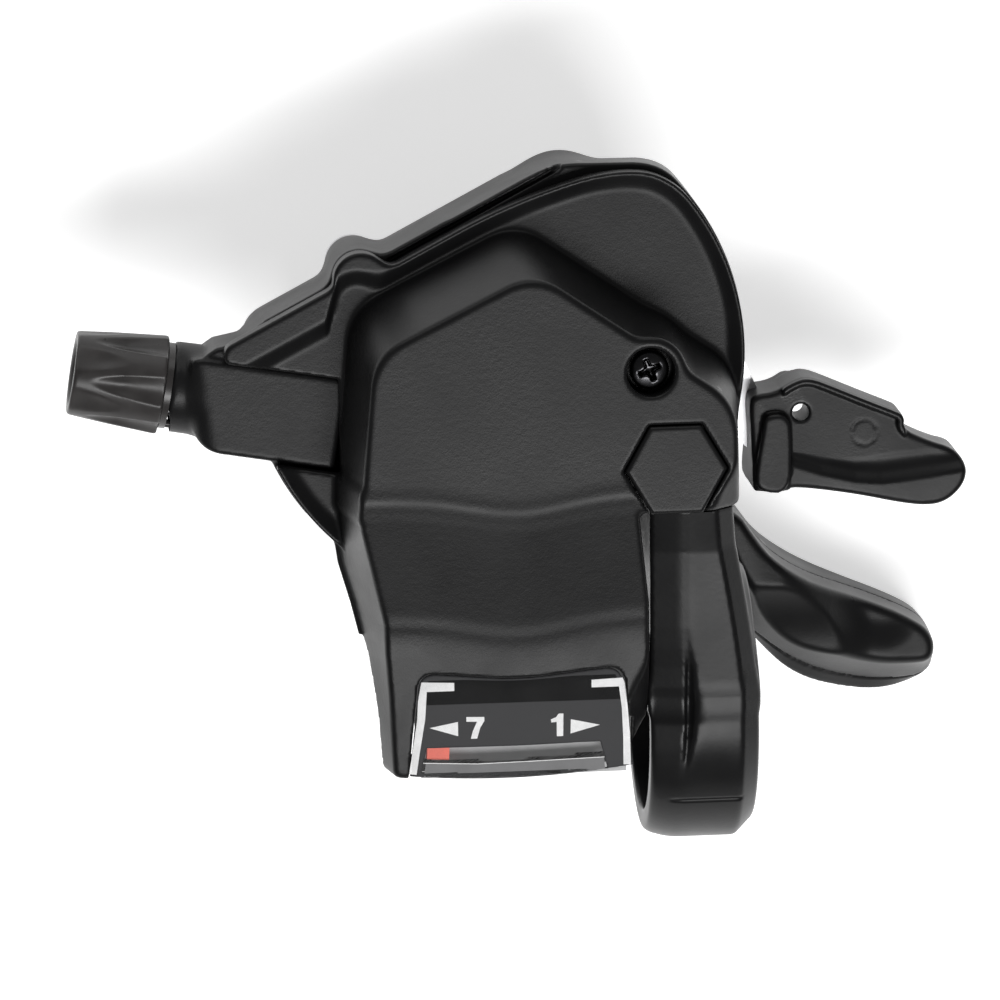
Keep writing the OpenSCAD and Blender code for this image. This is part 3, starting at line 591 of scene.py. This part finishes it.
# the scooped region inside the rim, open towards the front
SCOOP = curved([(4.6, 14.4), (5.5, 12.0), (6.5, 8.8), (8.4, 6.5), (11.7, 4.4), (14.3, 2.6), (16.6, 1.2),
                (18.4, 0.6), (20.6, 0.6), (22.5, 1.7), (23.2, 3.6), (23.6, 6.0), (20, 12), (8, 18)])
PADDLE_FOOT = -26.2
PARTING = 6.6                   # how far under the rim the mould's parting line runs
ARM_OVER = 8.8                  # the steel arm lies inside the paddle up to here along the bar
FLARE = 0.44                    # outward per mm down the rider's side, above the parting line
LIP_OUT, LIP_DOWN = 1.3, 1.3    # the lip under the parting line
DRAW_IN = 0.35                  # inward per mm down, below the lip
SCOOP_DEPTH = 0.75


def paddle_top(x):
    """Height of the rim: it stays over the steel arm, then falls to the tip."""
    fall = np.clip((x - ARM_OVER) / 9.5, 0, 1)
    return -8.2 - 4.4 * fall * fall * (3 - 2 * fall) - 0.06 * np.clip(x - 14, 0, 20)


def main_paddle(x, y, z):
    top = paddle_top(x)
    down = top - z
    plan = outline(x, y, PADDLE)
    # below the rim the wall flares out towards the rider to a lip at the parting line, then draws in
    rider = 1 / (1 + np.exp((y + 0.45 * x - 10.0) * 0.8))
    lip = np.exp(-((x - 15) / 8.0) ** 4)
    flare = FLARE * np.clip(down, 0, PARTING) + LIP_OUT * lip * np.clip((down - PARTING) / LIP_DOWN, 0, 1)
    skin = plan - rider * (flare - DRAW_IN * np.clip(down - PARTING - 2, 0, 20))
    deep = np.clip(-outline(x, y, SCOOP) / 3.2, 0, 1)
    ramp = np.clip((x - ARM_OVER) / 9, 0, 1)
    floor = (0.3 + 0.7 * ramp * ramp * (3 - 2 * ramp)) * (SCOOP_DEPTH * deep * deep * (3 - 2 * deep))
    body = all_of(2.0, skin, PADDLE_FOOT - z)
    body = all_of(0.8, body, (floor - down) * 0.85)
    groove = all_of(0.05, np.abs(down - PARTING) - 0.14, -0.22 - skin, 4 - x)
    body = less(body, groove, 0.08)
    under = all_of(0.8, skin + 2.4, z - PADDLE_FOOT - 6.5)
    return less(less(body, under, 0.5), np.hypot(y, z) - BAR_R - 0.55, 0.4)


def make_main_paddle():
    moulded("push_paddle", main_paddle, (2.0, -6.4, PADDLE_FOOT - 0.6), (26.0, 17.0, -7.6), "main_lever",
            "lever_plastic", "main_lever_paddle", step=0.26)


# ---- Release lever's paddle ----

RELEASE = curved([(5.3, 19.5), (5.4, 24.0), (5.2, 27.8), (5.6, 28.7), (7.8, 28.9), (9.4, 29.9), (10.9, 30.3),
                  (13.3, 29.3), (16.2, 28.0), (18.8, 26.9), (20.1, 26.3), (19.9, 24.9), (22.5, 23.6),
                  (24.9, 22.8), (26.1, 21.2), (25.8, 19.4), (24.3, 17.9), (22.6, 17.4), (20.0, 17.7),
                  (15.0, 18.9), (9.1, 19.8), (8.8, 19.3), (6.0, 19.4)])
# the thumb's ridge, and the far edge of the hollow behind it: y at each place along the bar
RIDGE = [(8.8, 22.2), (12.0, 21.1), (15.3, 20.3), (17.9, 20.05), (20.5, 20.3), (23.2, 20.6), (26.0, 21.0)]
HOLLOW = [(8.8, 23.1), (12.1, 22.5), (15.4, 22.2), (19.3, 22.6), (22.5, 22.8), (26.0, 22.4)]
BLOCK = curved([(5.7, 19.5), (5.6, 21.5), (6.4, 25.6), (6.6, 26.9), (8.9, 26.9), (9.1, 24.3), (8.9, 19.2)])
EYE = (10.16, 26.85)
EJECTOR = (16.25, 24.75)
EJECTOR_R = 1.2                 # faint round mark of the mould's ejector
WEB_Z = 0.5
RIDGE_Z = 1.35


def release_top(x, y):
    """Height of the paddle: a flat web, a hollow, the thumb's ridge and a slope down to the rider's side."""
    ridge, hollow = along_line(x, RIDGE), along_line(x, HOLLOW)
    t = np.clip((y - ridge) / (hollow - ridge), 0, 1)
    behind = RIDGE_Z + (WEB_Z - RIDGE_Z) * t - 0.6 * (hollow - ridge) * t * (1 - t)
    behind = behind + 1.2 * np.clip(ridge - y, 0, 9)
    thumb = RIDGE_Z - 0.03 * (ridge - y) - 0.008 * np.clip(ridge - y, 0, 9) ** 2
    top = blend_min(behind, np.where(y > ridge + 2, 9.0, thumb), 0.5)
    return top - 0.012 * np.clip(x - 17, 0, 12) ** 1.5


def release_paddle(x, y, z):
    plan = outline(x, y, RELEASE)
    web = np.clip((y - 22.4) * 1.2, 0, 1) * np.clip((x - 9.2) * 1.2, 0, 1)
    body = all_of(0.5, plan, (z - release_top(x, y)) * 0.9, -7.4 + 2.0 * web - z)
    rim = all_of(0.15, plan, -plan - 0.6, 8.4 - x, 23.6 - y, x - 20.2, between(z, -5.2, 1.25))
    block = all_of(0.35, outline(x, y, BLOCK) - 0.05 * (1.8 - z), between(z, -7.5, 1.85))
    body = any_of(0.2, body, rim, block)
    body = less(body, disc(x, y, EYE, 0.82), 0.15)
    ring = all_of(0.03, np.abs(disc(x, y, EJECTOR, EJECTOR_R)) - 0.09, WEB_Z - 0.1 - z)
    return less(body, ring, 0.05)


def make_release_paddle():
    moulded("release_paddle", release_paddle, (4.4, 15.4, -8.1), (27.0, 31.0, 2.5), "release_lever",
            "lever_plastic", "release_lever_paddle", step=0.2)


# ---- Barrel adjuster ----

KNOB = (-39.2, -30.5)           # from the cable's mouth to the collar, along the exit
KNOB_R, KNOB_TAPER = 4.12, 0.075
SOCKET_R, SOCKET_DEPTH = 2.55, 6.0
FLUTES = 6


def adjuster_knob(x, y, z):
    along, across, up = exit_axes(x, y, z)
    mouth, foot = KNOB
    r = np.hypot(across, up)
    s = along - mouth
    skin = KNOB_R + KNOB_TAPER * s
    body = all_of(0.4, (r - skin) * 0.99, mouth - along, along - foot)
    turn = np.arctan2(up, across)
    # pointed flutes from each end, the two sets half a pitch apart
    for start, length, shift, depth in ((foot - mouth, -7.2, 0.0, 0.6), (0.0, 5.0, 0.5, 0.25)):
        reach = np.clip((s - start) / length, 0, 1)
        pitch = 2 * math.pi / FLUTES
        near = (np.mod(turn / pitch + shift, 1.0) - 0.5) * pitch * skin
        width = 1.55 * np.sqrt(np.clip(1 - reach, 0.0, 1))
        dip = depth * np.clip(1 - (near / np.maximum(width, 0.05)) ** 2, 0, 1)
        dip = dip * np.clip((1 - reach) * 2.2, 0, 1)
        body = blend_max(body, (r - skin + dip) * 0.9, 0.12)
    socket = all_of(0.15, r - SOCKET_R, along - mouth - SOCKET_DEPTH)
    lead = (r - SOCKET_R + s) * DIAGONAL - 0.42
    through = r - 1.1
    seat = all_of(0.1, r - 3.0, foot - 2.2 - along)
    body = less(less(body, socket, 0.2), all_of(0.1, lead, s - 1), 0.15)
    return less(less(body, through, 0.15), seat, 0.1)


def make_knob():
    low, high = node_box("adjuster_knob")
    moulded("barrel_knob", adjuster_knob, [c - 0.6 for c in low], [c + 0.6 for c in high], "adjuster",
            "knob_plastic", "adjuster_knob", step=0.16)


# ---- Display window ----

LENS_DEPTH = 0.55
PLATE_DEPTH = 0.8               # from the display face down to the printed plate
PLATE_T = 0.35
SLOT = [(-27.9, -3.9), (-27.4, -1.75), (-19, -1.82), (-11.1, -1.7), (-10.5, -4.1)]
PRINT_T = 0.03
SEVEN = [(-23.7, 1.3), (-22.0, 1.25), (-22.0, 0.85), (-22.4, 0.2), (-22.7, -0.85), (-23.3, -0.85),
         (-23.1, -0.1), (-22.7, 0.8), (-23.7, 0.85)]
ONE = [(-14.95, 1.3), (-14.5, 1.3), (-14.55, -0.92), (-15.15, -0.92), (-15.15, 0.5), (-15.65, 0.45),
       (-15.7, 0.75), (-15.2, 0.95)]
ARROWS = [[(-27.2, 0.35), (-24.5, -0.55), (-24.5, 0.85)], [(-11.05, 0.05), (-13.8, 0.7), (-13.85, -0.7)]]
FRAME_LEFT = [(-27.9, 4.85), (-28.25, 3.0), (-28.35, 1.2), (-28.85, -2.0), (-29.2, -4.1), (-28.5, -4.2),
              (-28.15, -2.0), (-27.6, 1.2), (-27.4, 3.9), (-24.8, 3.9), (-24.8, 4.7)]
FRAME_RIGHT = [(-8.85, 4.6), (-11.8, 4.5), (-11.8, 3.75), (-9.2, 3.75), (-8.95, 1.6), (-8.85, -1.2),
               (-8.85, -3.95), (-8.15, -3.95), (-8.2, -1.2), (-8.4, 1.75), (-8.6, 4.0)]
# painted highlight: a grey band standing in for light on the lens's rolled near edge, laid over the shade
# below the slot
LENS_EDGE_LIGHT_BAND = [(-27.6, -3.1), (-22.7, -3.37), (-16.9, -3.29), (-10.7, -3.15), (-10.6, -4.3), (-14.5, -4.65),
        (-20, -4.8), (-24, -4.7), (-27.8, -4.45)]
# painted highlight: a thin white strip along the slot standing in for light on the lens's bend
LENS_BEND_HIGHLIGHT = [(-27.85, -3.05), (-22.7, -3.32), (-16.9, -3.24), (-10.65, -3.1)]


def face_z(y):
    """Height of the display's plain face."""
    return 16.6 + (y - 9.3) * 0.105


def make_lens():
    def field(x, y, z):
        down = face_z(y) - z
        rim = all_of(0.9, all_of(0.5, window(x, y, -0.1), near_edge(x, y)), -down)
        return all_of(0.1, rim, down - LENS_DEPTH)
    moulded("display_lens", field, (-30.0, -5.6, 14.0), (-7.2, 6.0, 16.6), "housing", "lens",
            "indicator_lens", step=0.16)


def make_label_plate():
    def field(x, y, z):
        down = face_z(y) - z
        plate = all_of(0.06, window(x, y, -0.15), near_edge(x, y) + 0.15,
                       between(down, PLATE_DEPTH, PLATE_DEPTH + PLATE_T))
        return less(plate, outline(x, y, SLOT) - 0.1, 0.05)
    moulded("display_plate", field, (-30.0, -5.6, 13.6), (-7.2, 6.0, 16.4), "housing", "label_print",
            "indicator_label", step=0.12)


def flat_prints(outlines, depth):
    """Thin flat shapes on the plate, from closed outlines that run either way round."""
    points, faces = [], []
    for line in outlines:
        area = sum(ax * by - bx * ay for (ax, ay), (bx, by) in zip(line, line[1:] + line[:1]))
        line = line if area > 0 else line[::-1]
        n, first = len(line), len(points)
        for lift in (0.0, PRINT_T):
            points += [(x, y, face_z(y) - depth + lift) for x, y in line]
        faces.append([first + n + i for i in range(n)])
        faces.append([first + i for i in reversed(range(n))])
        faces += [[first + i, first + (i + 1) % n, first + n + (i + 1) % n, first + n + i] for i in range(n)]
    return points, faces


def print_on(name, outlines, lift, paint):
    """Flat shapes printed on the plate; lift sets them lower, so that they don't share a face."""
    points, faces = flat_prints(outlines, PLATE_DEPTH + lift)
    piece(name, points, faces, "housing", "label_print", smooth=False, paint=paint)


def make_prints():
    """The white frame lines, arrows and numbers and the black band, as print; a grey band and a fine white
    line along the lens's near edge are painted highlights of its rolled edge and bend.
    """
    print_on("scale_marks", [SEVEN, ONE, *ARROWS, FRAME_LEFT, FRAME_RIGHT], 0.0, "white_print")
    xs = np.linspace(-28.05, -8.75, 25)
    tops = [min(4.95, 5.2 - 0.5 * math.exp(-((x + 18.8) / 6.0) ** 2)) for x in xs]
    tops[0], tops[-1] = 3.6, 3.6
    band = [(xs[0], 2.6), (xs[-1], 2.5)] + [(x, t) for x, t in zip(xs[::-1], tops[::-1])]
    print_on("scale_band", [band], 0.01, "black_print")
    # painted highlight: grey band for the lit rolled edge of the lens
    print_on("painted_edge_light", [LENS_EDGE_LIGHT_BAND], 0.03, "grey_print")
    # painted highlight of the lens's bend, drawn as a fine white strip on the plate
    line = LENS_BEND_HIGHLIGHT + [(x, y - 0.07) for x, y in LENS_BEND_HIGHLIGHT[::-1]]
    print_on("painted_lens_highlight", [line], 0.02, "white_print")


# ---- Materials ----

def new_material(name, colour, rough, **inputs):
    """A Principled material and its node tree's helpers."""
    mat = bpy.data.materials.new(name)
    mat.use_nodes = True
    shader = mat.node_tree.nodes["Principled BSDF"]
    shader.inputs["Base Color"].default_value = (*colour, 1)
    shader.inputs["Roughness"].default_value = rough
    for key, value in inputs.items():
        shader.inputs[key.replace("_", " ")].default_value = value
    return mat, shader


def add(mat, kind, links=(), **values):
    """A node in mat, with its inputs set from values and links from other nodes' outputs."""
    node = mat.node_tree.nodes.new("ShaderNode" + kind)
    for key, value in values.items():
        if key in node.inputs:
            node.inputs[key].default_value = value
        else:
            setattr(node, key, value)
    for output, key in links:
        mat.node_tree.links.new(output, node.inputs[key])
    return node


def place(mat, stretch=(1, 1, 1)):
    """Object coordinates in metres, stretched."""
    coords = add(mat, "TexCoord")
    return add(mat, "Mapping", [(coords.outputs["Object"], "Vector")], Scale=stretch).outputs["Vector"]


def noise(mat, vector, size_mm, detail=2.0):
    """Noise with blobs of about size_mm."""
    return add(mat, "TexNoise", [(vector, "Vector")], Scale=1 / (size_mm * MM), Detail=detail).outputs["Fac"]


def remap(mat, value, start, end, low, high):
    """A value's range from start to end, stretched over low to high."""
    ends = {"From Min": start, "From Max": end, "To Min": low, "To Max": high}
    return add(mat, "MapRange", [(value, "Value")], **ends).outputs["Result"]


def spread(mat, value, low, high):
    """A noise's middle range stretched over low to high."""
    return remap(mat, value, 0.3, 0.7, low, high)


def bump(mat, height, depth_mm, normal=None):
    links = [(height, "Height")] + ([(normal, "Normal")] if normal else [])
    return add(mat, "Bump", links, Strength=1.0, Distance=depth_mm * MM).outputs["Normal"]


def connect(mat, output, shader, key):
    mat.node_tree.links.new(output, shader.inputs[key])


def tinted(mat, shader, colour, value, low, high):
    """Base colour scaled by a noise between low and high."""
    factor = spread(mat, value, low, high)
    mix = add(mat, "VectorMath", [(factor, "Scale")], operation="SCALE")
    mix.inputs[0].default_value = colour
    connect(mat, mix.outputs["Vector"], shader, "Base Color")


def worn(mat, shader, rough, edge):
    """Roughness that drops where convex edges have been handled smooth."""
    at_edge = add(mat, "NewGeometry").outputs["Pointiness"]
    polish = remap(mat, at_edge, 0.5, 0.6, 0.0, 1.0)
    keep = add(mat, "Math", [(polish, 0)], operation="MULTIPLY")
    keep.inputs[1].default_value = -edge
    total = add(mat, "Math", [(keep.outputs[0], 0), (rough, 1)], operation="ADD")
    connect(mat, total.outputs[0], shader, "Roughness")


def moulded_plastic(name, grain_mm, depth_mm):
    """Black moulded plastic with a fine spark-eroded grain, faint mottling and handled edges."""
    colour, rough = (0.0062, 0.0062, 0.0065), 0.38
    mat, shader = new_material(name, colour, rough, Specular_IOR_Level=0.16)
    vector = place(mat)
    fine, coarse = noise(mat, vector, grain_mm, 3.0), noise(mat, vector, grain_mm * 3.1)
    cloud = noise(mat, vector, 6.0, 3.0)
    tinted(mat, shader, colour, cloud, 0.85, 1.15)
    worn(mat, shader, spread(mat, cloud, rough - 0.035, rough + 0.035), 0.1)
    normal = bump(mat, coarse, depth_mm * 1.2)
    connect(mat, bump(mat, fine, depth_mm, normal), shader, "Normal")
    return mat


def metal(name, colour, rough, stretch, line_mm, depth_mm):
    """Steel or brass with drawn or rolled lines and slight staining."""
    mat, shader = new_material(name, colour, rough, Metallic=1.0)
    lines = noise(mat, place(mat, stretch), line_mm, 3.0)
    cloud = noise(mat, place(mat), 2.5, 3.0)
    tinted(mat, shader, colour, cloud, 0.86, 1.08)
    connect(mat, spread(mat, cloud, rough - 0.07, rough + 0.09), shader, "Roughness")
    connect(mat, bump(mat, lines, depth_mm), shader, "Normal")
    return mat


def clamp_alloy():
    """Satin coating with a little orange peel."""
    colour = (0.006, 0.006, 0.0063)
    mat, shader = new_material("clamp_alloy", colour, 0.34, Specular_IOR_Level=0.17)
    vector = place(mat)
    peel, cloud = noise(mat, vector, 0.5), noise(mat, vector, 5.0, 3.0)
    tinted(mat, shader, colour, cloud, 0.85, 1.15)
    worn(mat, shader, spread(mat, cloud, 0.31, 0.38), 0.1)
    connect(mat, bump(mat, peel, 0.006), shader, "Normal")
    return mat


def knob_plastic():
    """Smooth, slightly warm moulded plastic."""
    colour = (0.026, 0.024, 0.0235)
    mat, shader = new_material("knob_plastic", colour, 0.36, Specular_IOR_Level=0.3)
    vector = place(mat)
    cloud, swirl = noise(mat, vector, 2.2, 4.0), noise(mat, vector, 0.35)
    tinted(mat, shader, colour, cloud, 0.8, 1.25)
    worn(mat, shader, spread(mat, cloud, 0.32, 0.40), 0.08)
    connect(mat, bump(mat, swirl, 0.004), shader, "Normal")
    return mat


def gloss(name, colour, rough, cloud_mm, spec=0.15):
    """Smooth plastic or print with faint clouding."""
    mat, shader = new_material(name, colour, rough, Specular_IOR_Level=spec)
    cloud = noise(mat, place(mat), cloud_mm, 3.0)
    tinted(mat, shader, colour, cloud, 0.93, 1.07)
    connect(mat, spread(mat, cloud, rough - 0.03, rough + 0.04), shader, "Roughness")
    connect(mat, bump(mat, cloud, 0.002), shader, "Normal")
    return mat


def floor_plastic():
    """Pale plastic under the pointer, with a faint emission: a painted glow standing in for light that
    reaches it through the window.
    """
    mat = gloss("floor_plastic", (0.42, 0.42, 0.425), 0.5, 1.5)
    shader = mat.node_tree.nodes["Principled BSDF"]
    # painted glow: a faint white emission lightens the floor seen through the slot
    shader.inputs["Emission Color"].default_value = (1, 1, 1, 1)
    shader.inputs["Emission Strength"].default_value = 0.06
    return mat


def lens():
    """Clear moulded window: mostly see-through, with a soft sheen."""
    mat, shader = new_material("lens", (0.06, 0.061, 0.062), 0.14, Alpha=0.05, Specular_IOR_Level=0.03)
    haze = noise(mat, place(mat), 3.0, 3.0)
    connect(mat, spread(mat, haze, 0.03, 0.06), shader, "Alpha")
    connect(mat, spread(mat, haze, 0.08, 0.16), shader, "Roughness")
    return mat


def turned(name, colour, rough):
    return metal(name, colour, rough, (1, 1, 8), 0.3, 0.002)


MATERIALS = {
    "housing_plastic": lambda: moulded_plastic("housing_plastic", 0.18, 0.009),
    "lever_plastic": lambda: moulded_plastic("lever_plastic", 0.16, 0.007),
    "clamp_alloy": clamp_alloy,
    "knob_plastic": knob_plastic,
    "lens": lens,
    "floor_plastic": floor_plastic,
    "grey_print": lambda: gloss("grey_print", (0.2, 0.2, 0.203), 0.45, 2.0, 0.05),
    "label_print": lambda: gloss("label_print", (0.042, 0.042, 0.044), 0.4, 2.0, 0.05),
    "white_print": lambda: gloss("white_print", (0.86, 0.86, 0.86), 0.5, 0.6),
    "black_print": lambda: gloss("black_print", (0.004, 0.004, 0.0042), 0.4, 2.0, 0.02),
    "black_screw": lambda: metal("black_screw", (0.035, 0.035, 0.037), 0.27, (1, 1, 6), 0.3, 0.002),
    "plated_steel": lambda: turned("plated_steel", (0.62, 0.62, 0.64), 0.3),
    "stamped_steel": lambda: metal("stamped_steel", (0.60, 0.60, 0.61), 0.33, (1, 7, 1), 0.25, 0.003),
    "spring_wire": lambda: metal("spring_wire", (0.55, 0.55, 0.56), 0.25, (1, 1, 5), 0.2, 0.002),
    "acetal": lambda: gloss("acetal", (0.68, 0.68, 0.65), 0.42, 2.5),
    "pointer_red": lambda: gloss("pointer_red", (0.85, 0.17, 0.12), 0.35, 1.0),
    "insert_brass": lambda: turned("insert_brass", (0.72, 0.53, 0.24), 0.28),
}
made = {}


def material_for(slot):
    """The slot's material, made once."""
    if slot not in made:
        made[slot] = MATERIALS[slot]()
    return made[slot]


def finish_cad_nodes():
    """The CAD nodes that show keep their shape and take the slot's finish."""
    for part in frame["record"]["subparts"]:
        data = frame["nodes"][part["node"]].data
        for i in range(len(data.materials)):
            data.materials[i] = material_for(part["material_slot"])


# ---- Camera, light and floor ----

CAMERA = (-88.0, 174.3, 879.0)          # mm, about 90 cm above and a little to the front
AIM = (-18.5, 18.5, -4.7)
CAMERA_ROLL = math.radians(1.3)
LENS_MM = 336.96


def make_camera():
    cam = bpy.data.objects.new("camera", bpy.data.cameras.new("camera"))
    bpy.context.collection.objects.link(cam)
    back = (Vector(CAMERA) - Vector(AIM)).normalized()
    across = Vector((0, 1, 0)).cross(back).normalized()
    axes = Matrix((across, back.cross(across), back)).transposed().to_4x4()
    cam.matrix_world = Matrix.Translation(Vector(CAMERA) * MM) @ axes @ Matrix.Rotation(-CAMERA_ROLL, 4, "Z")
    cam.data.lens = LENS_MM
    cam.data.sensor_width = 36
    cam.data.clip_start, cam.data.clip_end = 0.01, 20
    bpy.context.scene.camera = cam


# name, place and size in metres, watts
SOFT_BOXES = [
    ("overhead", (0.04, -0.315, 0.90), (0.60, 0.25), 8.2),
    ("front", (-0.15, 0.85, 0.30), (0.9, 0.5), 2.6),
    ("rider", (0.0, -0.90, 0.12), (1.0, 0.3), 0.9),
]
FLOOR_R = 1.6
FLOOR_GAP = 0.3                 # mm under the object's lowest point


def soft_box(name, at, size, watts):
    """A rectangular light that faces the middle of the view."""
    data = bpy.data.lights.new(name, "AREA")
    data.shape, data.size, data.size_y = "RECTANGLE", size[0], size[1]
    data.energy = watts
    lamp = bpy.data.objects.new(name, data)
    bpy.context.collection.objects.link(lamp)
    lamp.location = at
    lamp.rotation_euler = (Vector(AIM) * MM - Vector(at)).to_track_quat("-Z", "Y").to_euler()


def light_scene():
    world = bpy.data.worlds.new("studio")
    bpy.context.scene.world = world
    world.use_nodes = True
    back = world.node_tree.nodes["Background"]
    back.inputs["Color"].default_value = (1, 1, 1, 1)
    back.inputs["Strength"].default_value = 0.18
    for light in SOFT_BOXES:
        soft_box(*light)
    bpy.context.scene.view_settings.view_transform = "Standard"


def make_floor():
    """A pale round table under the object."""
    bm = bmesh.new()
    bmesh.ops.create_circle(bm, cap_ends=True, segments=96, radius=FLOOR_R)
    mesh = bpy.data.meshes.new("floor")
    bm.to_mesh(mesh)
    bm.free()
    floor = bpy.data.objects.new("floor", mesh)
    bpy.context.collection.objects.link(floor)
    floor.location = ((cad_box[0][0] + cad_box[1][0]) / 2, (cad_box[0][1] + cad_box[1][1]) / 2,
                      cad_box[0][2] - FLOOR_GAP * MM)
    mat, shader = new_material("floor", (0.93, 0.93, 0.93), 0.7)
    shader.inputs["Emission Color"].default_value = (1, 1, 1, 1)
    shader.inputs["Emission Strength"].default_value = 0.50
    mesh.materials.append(mat)


def main():
    make_camera()
    light_scene()
    make_floor()
    finish_cad_nodes()
    make_top_cover()
    make_main_housing()
    make_bottom_cover()
    make_clamp()
    make_hex_cap()
    make_cover_screw()
    make_main_paddle()
    make_release_paddle()
    make_knob()
    make_lens()
    make_label_plate()
    make_prints()


main()
